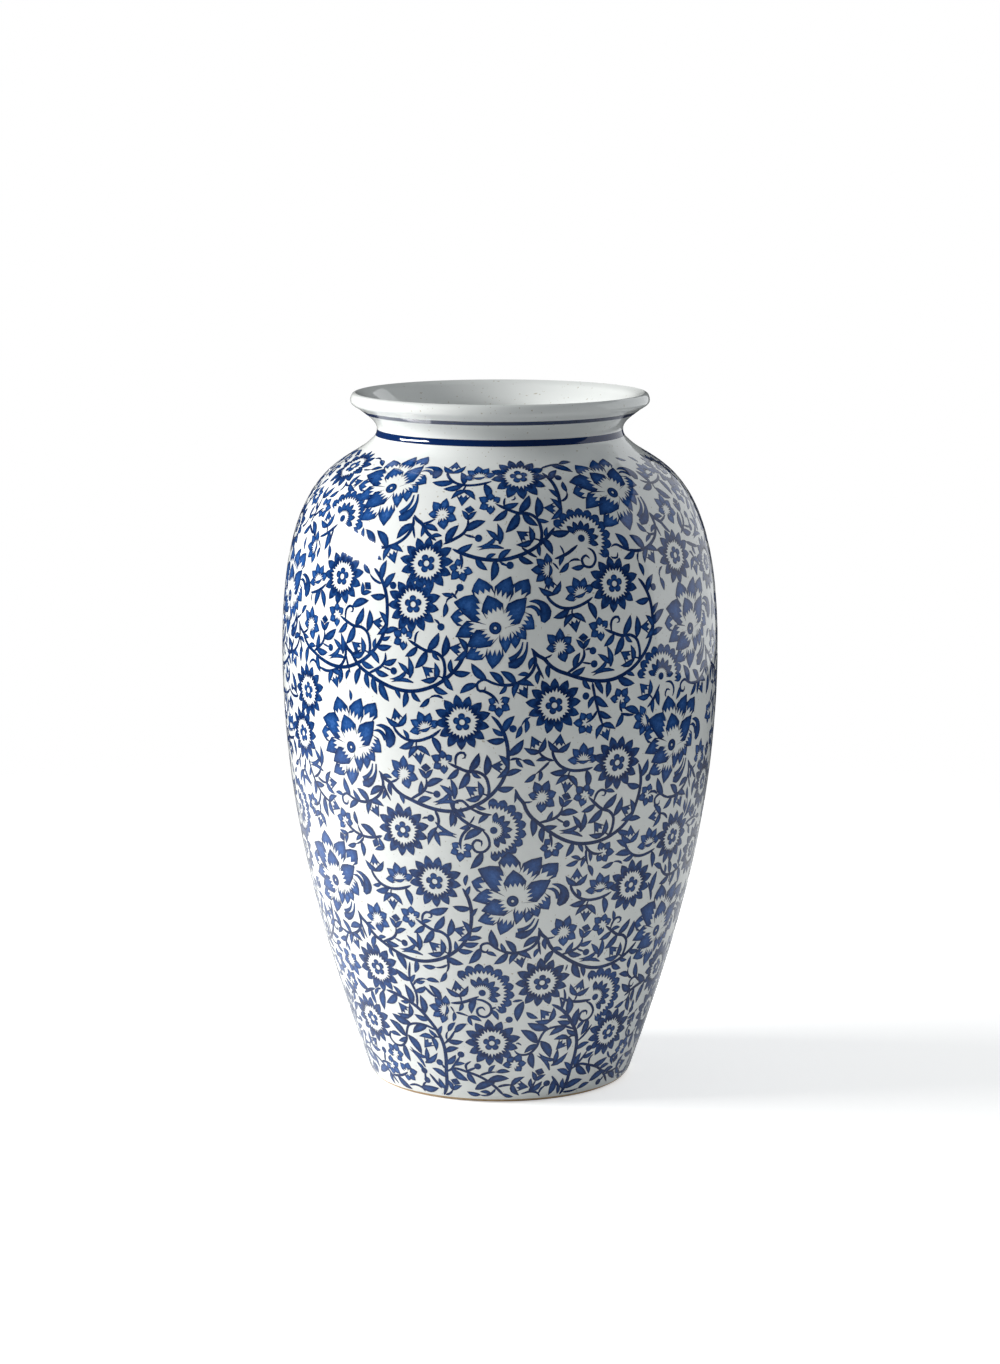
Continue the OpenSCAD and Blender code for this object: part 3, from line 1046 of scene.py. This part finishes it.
# A vine that climbs from the foot and leans to the left; the origin is its root on the foot
climber = {
    "smallStar": [(-24.1, 17.3, 0)],
    "vines": [
        (1.45, [(-3.6, -0.6), (-1, 5.8), (-0.2, 13), (0.5, 19), (0.3, 25.2), (-1.5, 31), (-4.3, 35.6),
                (-7.6, 39.6), (-12.4, 42.6), (-18, 44.4), (-23.4, 44.6), (-28.4, 43.4), (-33, 41.2)]),
        (1, [(-1.6, 31), (-5.8, 32.8), (-10, 33), (-13.2, 31.8), (-15, 28.6), (-16, 25), (-19.4, 21.8),
             (-22.8, 22), (-24.6, 24.6), (-23.4, 27), (-21.8, 26)]),
        (1.05, [(0.4, 25.4), (3.2, 28.2), (5.6, 32)]),
        (1.1, [(-0.3, 12.6), (3.6, 14.6), (8.6, 13.4), (14.4, 11), (19.6, 6.8), (23.8, 1.8)]),
        (1.05, [(1.8, 14), (4.2, 17), (6.4, 20.6)]),
        (0.95, [(-0.2, 28), (-2.6, 28.4), (-4.4, 27)]),
        (1, [(-20.8, 2.6), (-17.2, 3.6), (-13.6, 2.6), (-12.2, 0.2)]),
        (1.05, [(-13.2, 2), (-12.4, 4.6), (-10.4, 6.4)]),
        (1.3, [(-8.2, 10.6), (-6, 7.4), (-3.6, 4)]),
        (1.05, [(8.8, 13.3), (8.4, 16.6), (10.6, 18.6)]),
        (1.05, [(-8, 39.8), (-7.4, 45), (-9, 51), (-8, 57)]),
    ],
    "crown": [(-8.6, 16.2, -60)],
    "tulip": [(-4.2, 27.4, 140), (-12.2, 36.2, 40), (12, 17.6, -50), (-21.4, 2.6, 70)],
    "berry": [(-10, 7.2), (6.8, 21.4)],
    "leaves": [
        ((-12.2, 32.6), (-19.4, 35.4)), ((-15.8, 26.6), (-22, 32)), ((-14.6, 27.4), (-10.6, 20)),
        ((-17.8, 22.6), (-16.4, 15.6)), ((-22, 44.6), (-27.4, 48.4)), ((-22, 44.2), (-23.4, 36.8)),
        ((-30.2, 42.8), (-35.4, 46.2)), ((-28.2, 43.2), (-27.4, 38)), ((-1.8, 32.2), (-1.2, 39.2)),
        ((-5.4, 37.6), (-6.2, 44.4)), ((11.4, 5), (19.4, 8)), ((2.2, 14.4), (8.4, 9.6)),
        ((0.4, 22), (5.8, 24)), ((-0.4, 10), (-6, 13.2)), ((-8.8, 50), (-13.6, 53.6)),
        ((-8, 54), (-3, 58.4)), ((5.2, 31), (9.8, 34.6)),
    ],
}

frontLayout = {
    # u, v, turn of every large flower that faces the front half
    "lily": [
        (-62, 324, 15), (63, 321, 10), (-2, 260, 0), (98, 253, 0), (-124, 264, 0), (-70, 205, 0),
        (85, 204, -8), (6, 137, -14), (-94, 138, -14), (97, 110, -8),
    ],
    "aster": [
        (-110, 336, 0), (11, 336, 10), (-77, 278, 0), (-33, 287, 20), (-38, 269, 5), (52, 277, 0),
        (92, 286, 10), (-99, 226, 0), (-106, 206, 15), (-16, 220, 5), (23, 227, 20), (53, 200, 10),
        (-45, 170, 0), (-31, 146, 8), (68, 140, 0), (94, 160, 15), (-73, 93, 10), (23, 90, 0),
        (-91, 56, 5), (-5, 50, 0), (75, 50, 10), (126, 331, 0), (125, 279, 10), (122, 181, 0),
        (119, 56, 10), (112, 85, 0),
    ],
    "fan": [
        (38, 298, -35), (76, 235, -10), (-3, 172, -88), (-10, 84, -45), (57, 77, -70), (-86, 304, -30),
        (-124, 169, -88),
    ],
}
frontScrolls = [
    (-62, 326, 6), (63, 323, 6), (-2, 262, 10), (98, 255, 8), (-124, 266, 9), (-70, 207, 9), (85, 206, 8),
    (-4, 206, -10), (-94, 139, 0), (6, 138, -5), (97, 111, 0), (-87, 263, 4),
]
frontTwigs = [
    (11, 336, 0), (-77, 278, 10), (52, 277, 10), (-16, 220, 10), (-31, 146, 0), (68, 140, -3),
    (53, 200, -10), (94, 160, 0), (-106, 206, 0), (126, 331, 0),
]
frontSpan = (-132, 132)  # the part laid out above, in u


def backLayout():
    # Behind, the same flowers stand in an even half-drop: alternate rows shift by half a pitch
    layout = {name: [] for name in largeFlowers}
    scrolls, twigs = [], []
    span = girth - (frontSpan[1] - frontSpan[0])
    pitch = span / 3.5
    for row, v in enumerate((323, 262, 202, 137)):
        for k in range(3):
            u = frontSpan[1] + (k + 0.45 + 0.5 * (row % 2)) * pitch
            turn = -14 + 7 * (row % 3)
            layout["lily"].append((u, v, turn))
            scrolls.append((u, v, turn + 12))
            layout["aster"].append((u + 56, v + 11, 10 * row))
            twigs.append((u + 56, v + 11, 4))
            layout["aster"] += [(u + 48, v + 33, 5), (u - 33, v + 22, 0), (u - 28, v - 22, 12)]
            layout["fan"].append((u - 12, v - 42, -45 - 20 * (k % 2)))
    for k in range(4):
        u = frontSpan[1] + (k + 0.4) * span / 4
        layout["aster"] += [(u, 50, 10 * k), (u + 38, 84, 0)]
        layout["fan"].append((u - 4, 84, -45))
    return layout, scrolls, twigs


flowerReach = {"lily": 17, "aster": 11.5, "fan": 11}
closest = 0.86  # of two flowers' reaches together, the least distance between them


def isClear(name, u, v):
    # True if every large flower laid so far is far enough from (u, v)
    for other in largeFlowers:
        for a, b, _, _ in spots[other]:
            du = (u - a + girth / 2) % girth - girth / 2
            reach = flowerReach[name] + flowerReach[other]
            if np.hypot(du, v - b) < reach * stretchAt(v) * closest:
                return False
    return True


def layFlowers():
    # The front's flowers, then those behind that don't meet them, then the vines that go with each
    behind, scrolls, twigs = backLayout()
    for name in largeFlowers:
        for spot in frontLayout[name]:
            place(name, *spot)
    for name in largeFlowers:
        for u, v, turn in behind[name]:
            if isClear(name, u, v):
                place(name, u, v, turn)
    for origin in frontScrolls + scrolls:
        printGroup(scroll, origin)
    for origin in frontTwigs + twigs:
        printGroup(twig, origin)
    for u, v, turn, _ in spots["fan"]:
        printGroup(stalk, (u, v, turn + 45))
    for k in range(7):
        printGroup(climber, (-36.5 + k * girth / 7, 5, 0))


layFlowers()
print("stage: flowers and vines are laid")

# Twigs grow from the vines and flowers into the room that is left, and leaves spring from every vine

growth = {
    "seed": 7,
    "strayTries": 2500,  # tries at whole asters in the gaps behind
    "rounds": [
        # tries, shortest and longest twig, clear width to each side, shapes that may end it
        (6000, 10, 24, 3.2, ("star", "tulip", "smallStar", "star")),
        (9000, 6.5, 14, 2.3, ("tulip", "smallStar", "tulip", "crown")),
        (9000, 4.5, 9, 1.8, ("tulip", "trio", "smallStar", "tulip")),
    ],
    "lastRound": (14000, 3.6, 8, 1.5, ("tulip", "trio", "smallStar", "berry")),
    "rooted": 2.4,  # length of a twig that lies close to what it springs from
    "fromFlowers": 0.2,  # share of twigs that start at an aster's rim
    "leafLean": (28, 52),  # degrees between a leaf and its vine
    "leafSizes": (1.25, 1.1, 0.95, 0.8, 0.66),
    "leafGap": ((6.5, 11), (4.4, 7.5)),  # mm from one leaf to the next, first and later
    "looseLeaves": 3000,  # tries at the gaps that no vine reaches
}


def pickStarts(rng, count):
    # Places and headings along the vines, to either side, and round the asters' rims
    runs = np.concatenate([run for run, half in strokes])
    heads = np.concatenate([np.arctan2(*np.gradient(run, axis=0).T[::-1]) for run, half in strokes])
    k = rng.integers(0, len(runs), count)
    heading = heads[k] + rng.choice((-1, 1), count) * np.radians(rng.uniform(30, 75, count))
    starts = np.column_stack([runs[k], heading])
    rims = np.array(spots["aster"])[rng.integers(0, len(spots["aster"]), count)]
    a = rng.uniform(0, 2 * np.pi, count)
    reach = 10.5 * stretchAt(rims[:, 1])
    onRims = np.column_stack([rims[:, 0] + reach * np.cos(a), rims[:, 1] + reach * np.sin(a), a])
    return np.where(rng.uniform(0, 1, (count, 1)) < growth["fromFlowers"], onRims, starts)


def growTwigs(rng, tries, shortest, longest, clear, ends):
    # A twig's heading is its first one plus bend (s / length)^1.3. It is kept if it and its margins, which
    # widen from its root, are free and its flower fits at its tip; a short one may end in a leaf instead.
    starts = pickStarts(rng, tries)
    lengths = rng.uniform(shortest, longest, tries)
    bends = rng.uniform(0.2, 1.7, tries) * rng.choice((-1, 1), tries)
    choices = rng.integers(0, len(ends), tries)
    rooted = growth["rooted"]
    for (u, v, heading), length, bend, choice in zip(starts, lengths, bends, choices):
        s = np.linspace(0, length, int(length / 0.9) + 3)
        turn = heading + bend * (s / length) ** 1.3
        step = stretchAt(v) * length / (len(s) - 1)
        path = np.stack([u + np.cumsum(np.cos(turn)) * step, v + np.cumsum(np.sin(turn)) * step], 1)
        far = path[s > rooted]
        if far[:, 1].max() > topEdge - 2 or far[:, 1].min() < bottomEdge + 2:
            continue
        margin = np.minimum(clear, 0.75 * (s[s > rooted] - rooted / 2)) * stretchAt(v)
        across = np.stack([-np.sin(turn), np.cos(turn)], 1)[s > rooted] * margin[:, None]
        probe = np.concatenate([far, far + across, far - across, far + across / 2, far - across / 2])
        if nearInk[cellsOf(probe[:, 0], probe[:, 1])].any():
            continue
        end = (*path[-1], np.degrees(turn[-1]) - 90)
        if place(ends[choice], *end, 1.0, 0.1):
            draw(path, 1.1, (0.4, 1.2))
        elif length < 13 and place("leafLeft", *end, 0.8, 0.1):
            draw(path, 1.0, (0.4, 1.2))


def sproutLeaves(rng, sizes, gap):
    # Leaves on alternate sides of each vine, each of the largest size that fits
    for run, _ in strokes:
        along = np.append(0, np.cumsum(np.hypot(*np.diff(run, axis=0).T))) / stretchAt(run[:, 1])
        heads = np.arctan2(*np.gradient(run, axis=0).T[::-1])
        at, side = rng.uniform(1.0, 2.5), rng.choice((-1, 1))
        while at < along[-1]:
            k = np.searchsorted(along, at)
            lean = rng.uniform(*growth["leafLean"])
            turn = np.degrees(heads[k]) - 90 + side * lean
            name = "leafLeft" if rng.uniform() < 0.5 else "leafRight"
            placed = any(place(name, *run[k], turn, size, 0.06, 2.2) for size in sizes)
            at += rng.uniform(*gap) if placed else 1.1
            side = -side


def addStrays(rng, tries):
    # Away from the front, an aster with its twig goes wherever a whole one fits
    low, high = (frontSpan[1] - 14, 20, 0), (girth + frontSpan[0] + 14, 330, 360)
    for u, v, turn in rng.uniform(low, high, (tries, 3)):
        if place("aster", u, v, turn, 1.0, 0.0):
            printGroup(twig, (u, v, rng.uniform(-15, 15)))


def fillGaps():
    # Asters first, then twigs from long to short, with leaves before and after the shortest
    rng = np.random.default_rng(growth["seed"])
    addStrays(rng, growth["strayTries"])
    for settings in growth["rounds"]:
        growTwigs(rng, *settings)
    first, later = growth["leafGap"]
    sproutLeaves(rng, growth["leafSizes"][:3], first)
    growTwigs(rng, *growth["lastRound"])
    sproutLeaves(rng, growth["leafSizes"], later)
    low, high = (0, bottomEdge + 2, 0, 0.6), (girth, topEdge - 2, 360, 0.85)
    for u, v, turn, size in rng.uniform(low, high, (growth["looseLeaves"], 4)):
        if not nearInk[cellsOf(np.array([u]), np.array([v]))][0]:
            place("leafRight", u, v, turn, size, 0.0)


fillGaps()
print("stage: gaps are filled:", {name: len(spots[name]) for name in spots}, len(strokes), "strokes")


def stampShapes():
    # Each part of a shape is laid at all the shape's places at once
    for name, parts in shapes.items():
        if not spots[name]:
            continue
        u, v, turn, size = (a[:, None, None] for a in np.array(spots[name], float).T)
        for p in parts:
            x, y = p["grid"][None, ..., 0], p["grid"][None, ..., 1]
            lay(p["piece"], *spread(x, y, u, v, turn, size), p["ink"], p["wraps"])


def stampStrokes():
    # Each vine is a strip between its line moved to the left and to the right by its half width
    for run, half in strokes:
        across = squareTo(run) * half[:, None]
        grid = np.stack([run - across, run + across], 1)[None]
        lay("vines", grid[..., 0], grid[..., 1], vineStroke["ink"])


def finishPrint():
    # One mesh for each printed piece, shaded with the glaze's own directions
    for name, store in printed.items():
        points = np.concatenate(store["points"]) * mm
        directions = np.concatenate(store["directions"])
        faces = np.concatenate(store["faces"])
        mesh = bpy.data.meshes.new(name)
        mesh.vertices.add(len(points))
        mesh.vertices.foreach_set("co", points.ravel())
        mesh.loops.add(faces.size)
        mesh.loops.foreach_set("vertex_index", faces.ravel())
        mesh.polygons.add(len(faces))
        mesh.polygons.foreach_set("loop_start", np.arange(len(faces)) * 4)
        mesh.update(calc_edges=True)
        mesh.validate()
        mesh.shade_smooth()
        mesh.normals_split_custom_set_from_vertices(directions)
        ink = mesh.attributes.new("ink", "FLOAT", "POINT")
        ink.data.foreach_set("value", np.concatenate(store["ink"]).astype(np.float32))
        addPiece(name, mesh, cobaltPrint)
        print("stage: printed", name, len(faces) * 2, "triangles")


paintedLines = {"neckLine": "neck_line", "lipLine": "lip_line"}
lineLook = {
    "bleed": 0.2,  # how far the lines reach past their CAD nodes, up and down
    "ink": 1.1,
}


def paintLine(name, node):
    # A painted line is a thin closed ring that follows the glaze from just below the node to just above it
    low, high = (c.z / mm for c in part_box(node))
    heights = np.linspace(low - lineLook["bleed"], high + lineLook["bleed"], 6)
    u = np.arange(turning["columns"]) * girth / turning["columns"]
    across, up = np.meshgrid(u, np.interp(heights, sheet["z"], sheet["v"]))
    lay(name, across[None], up[None], lineLook["ink"], True)


stampShapes()
stampStrokes()
for name, node in paintedLines.items():
    paintLine(name, node)
finishPrint()
for name, node in paintedLines.items():
    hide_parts(node)
